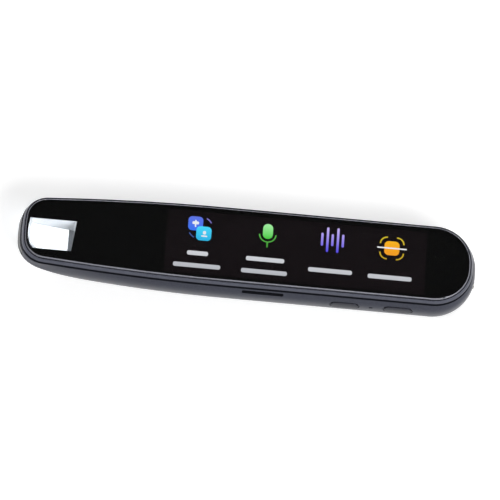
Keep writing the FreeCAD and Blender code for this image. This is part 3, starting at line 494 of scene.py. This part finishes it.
def softened(node, width, material, body="body"):
    """The CAD piece with its sharp edges rounded over, so that they catch the light."""
    piece = whole_copy(node, node + "_softened")
    round_over = piece.modifiers.new("round_over", "BEVEL")
    round_over.width = width * MM
    round_over.segments = 3
    round_over.limit_method = "ANGLE"
    round_over.angle_limit = math.radians(35)
    bpy.ops.object.modifier_apply(modifier=round_over.name)
    even_shading(piece, 40)
    settle(node + "_softened", material, body)
    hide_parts(node)


# The glass's edge faces, told from the top and the side by how far they lean
EDGE_STEEP, EDGE_FLAT = 0.3, 0.93
# How far the glass's underside is raised off the ink, in millimetres, and how near to it a point counts
GLASS_LIFT, UNDERSIDE_REACH = 0.02, 0.01


def polished_glass():
    """The cover glass, with its underside just off the ink and its rounded edge painted pale grey as a
    highlight.
    """
    piece = whole_copy("cover_glass", "cover_glass_polished")
    mesh = piece.data
    underside = min(v.co.z for v in mesh.vertices)
    for vertex in mesh.vertices:
        if vertex.co.z < underside + UNDERSIDE_REACH * MM:
            vertex.co.z += GLASS_LIFT * MM
    even_shading(piece, 50)
    settle("cover_glass_polished", glass)
    # The rounded edge's faces take the pale grey of the painted highlight.
    mesh.materials.append(glass_edge_painted_highlight)
    for face in mesh.polygons:
        if EDGE_STEEP < face.normal.z < EDGE_FLAT:
            face.material_index = 1
    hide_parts("cover_glass")


polished_glass()
softened("power_button", 0.14, button_satin, "power_button")
softened("function_button", 0.14, button_satin, "function_button")
softened("rear_plate", 0.05, brushed_plate)
softened("usb_port_shell", 0.06, nickel)


# The sill film's middle, length and width in millimetres, and its height before it is laid on the shell
SILL_X, SILL_Y, SILL_START_Z = -55.95, -1.35, 7.5
SILL_LENGTH, SILL_WIDTH = 1.9, 11.8
FILM_THICKNESS, FILM_GAP = 0.05, 0.02


def sill_film():
    """A white film on the shell's inner face between the nose and the lamps, which fills the sight window."""
    deselect()
    bpy.ops.mesh.primitive_grid_add(x_subdivisions=6, y_subdivisions=24, size=1,
                                    location=(SILL_X * MM, SILL_Y * MM, SILL_START_Z * MM))
    film = bpy.context.object
    film.scale = (SILL_LENGTH * MM, SILL_WIDTH * MM, 1)
    bpy.ops.object.transform_apply(location=True, rotation=True, scale=True)
    wrap = film.modifiers.new("lay_on_shell", "SHRINKWRAP")
    wrap.target = nodes["rear_shell"]
    wrap.wrap_method = "PROJECT"
    wrap.use_project_z = True
    wrap.use_negative_direction = True
    wrap.use_positive_direction = False
    wrap.offset = FILM_GAP * MM
    bpy.ops.object.modifier_apply(modifier=wrap.name)
    wall = film.modifiers.new("film_thickness", "SOLIDIFY")
    wall.thickness = FILM_THICKNESS * MM
    wall.offset = 1
    bpy.ops.object.modifier_apply(modifier=wall.name)
    bpy.ops.object.shade_smooth_by_angle(angle=math.radians(40))
    settle("sight_sill_film", white_film)


sill_film()


# Floor, light and camera

# How brightly the floor glows by itself to the camera and in reflections, and seen through clear parts
FLOOR_GLOW, FLOOR_GLOW_THROUGH = 0.45, 0.85
# How far below the object's lowest point the floor lies, in millimetres
FLOOR_GAP = 0.05


def studio_floor():
    """A white sheet: diffuse for the object's shadow, and white by itself to the camera."""
    deselect()
    bpy.ops.mesh.primitive_plane_add(size=6, location=(0, 0, -FLOOR_GAP * MM))
    floor = bpy.context.object
    floor.name = "studio_floor"
    bpy.ops.object.transform_apply(location=True, rotation=True, scale=True)
    material, tree, place = new_material("white_paper_sheet")
    fibre = add(tree, "ShaderNodeTexNoise", {"Vector": place, "Scale": per_mm(2.0), "Detail": 3.0})
    tone = ramp(tree, fibre.outputs["Fac"], [(0.0, "#e9e9e9"), (1.0, "#eeeeee")])
    paper = add(tree, "ShaderNodeBsdfDiffuse", {"Color": tone})
    rays = add(tree, "ShaderNodeLightPath")
    open_ray = add(tree, "ShaderNodeMath", operation="MAXIMUM")
    tree.links.new(rays.outputs["Is Camera Ray"], open_ray.inputs[0])
    tree.links.new(rays.outputs["Is Glossy Ray"], open_ray.inputs[1])
    through = spread(tree, rays.outputs["Is Transmission Ray"], 0.0, FLOOR_GLOW_THROUGH)
    strength = add(tree, "ShaderNodeMath", operation="MULTIPLY_ADD")
    tree.links.new(open_ray.outputs[0], strength.inputs[0])
    strength.inputs[1].default_value = FLOOR_GLOW
    tree.links.new(through, strength.inputs[2])
    white = add(tree, "ShaderNodeEmission",
                {"Color": colour("#ffffff"), "Strength": strength.outputs[0]})
    both = add(tree, "ShaderNodeAddShader")
    tree.links.new(paper.outputs[0], both.inputs[0])
    tree.links.new(white.outputs[0], both.inputs[1])
    finish_with(tree, both)
    floor.data.materials.append(material)


def softbox(name, place, size_x, size_y, power):
    """An area lamp that faces the middle of the object."""
    lamp = bpy.data.lights.new(name, "AREA")
    lamp.shape = "RECTANGLE"
    lamp.size = size_x
    lamp.size_y = size_y
    lamp.energy = power
    holder = bpy.data.objects.new(name, lamp)
    bpy.context.scene.collection.objects.link(holder)
    holder.location = place
    holder.rotation_euler = Vector(place).to_track_quat("Z", "Y").to_euler()


studio_floor()
softbox("key_softbox", (0.55, -0.75, 0.7), 0.7, 0.5, 11.0)
softbox("fill_softbox", (-0.8, -0.35, 0.7), 0.6, 0.6, 2.0)
softbox("rim_softbox", (0.1, 0.95, 0.35), 1.2, 0.25, 9.0)

# The room's light on the object. The camera sees the room as plain white.
ROOM_LIGHT = 0.14
world = bpy.data.worlds.new("studio")
bpy.context.scene.world = world
world.use_nodes = True
world.node_tree.nodes.clear()
rays = add(world.node_tree, "ShaderNodeLightPath")
strength = spread(world.node_tree, rays.outputs["Is Camera Ray"], ROOM_LIGHT, 1.0)
sky = add(world.node_tree, "ShaderNodeBackground", {"Color": colour("#ffffff"), "Strength": strength})
add(world.node_tree, "ShaderNodeOutputWorld", {"Surface": sky.outputs[0]})

# The camera's place and turn come from the photograph: the glass's corners fix them.
CAMERA_DISTANCE = 1.5
TO_CAMERA = Vector((-0.04004, -0.41503, 0.90893))
IMAGE_RIGHT = Vector((0.99508, 0.06601, 0.07398))
IMAGE_UP = Vector((-0.09070, 0.90742, 0.41035))
camera_data = bpy.data.cameras.new("photo_camera")
camera_data.sensor_width = 36.0
camera_data.lens = 337.93
camera_data.shift_x = 0.0096
camera_data.shift_y = 0.0286
camera = bpy.data.objects.new("photo_camera", camera_data)
bpy.context.scene.collection.objects.link(camera)
turn = Matrix((IMAGE_RIGHT, IMAGE_UP, TO_CAMERA)).transposed()
camera.matrix_world = Matrix.Translation(TO_CAMERA * CAMERA_DISTANCE) @ turn.to_4x4()
bpy.context.scene.camera = camera

bpy.context.scene.view_settings.view_transform = "Standard"

deselect()
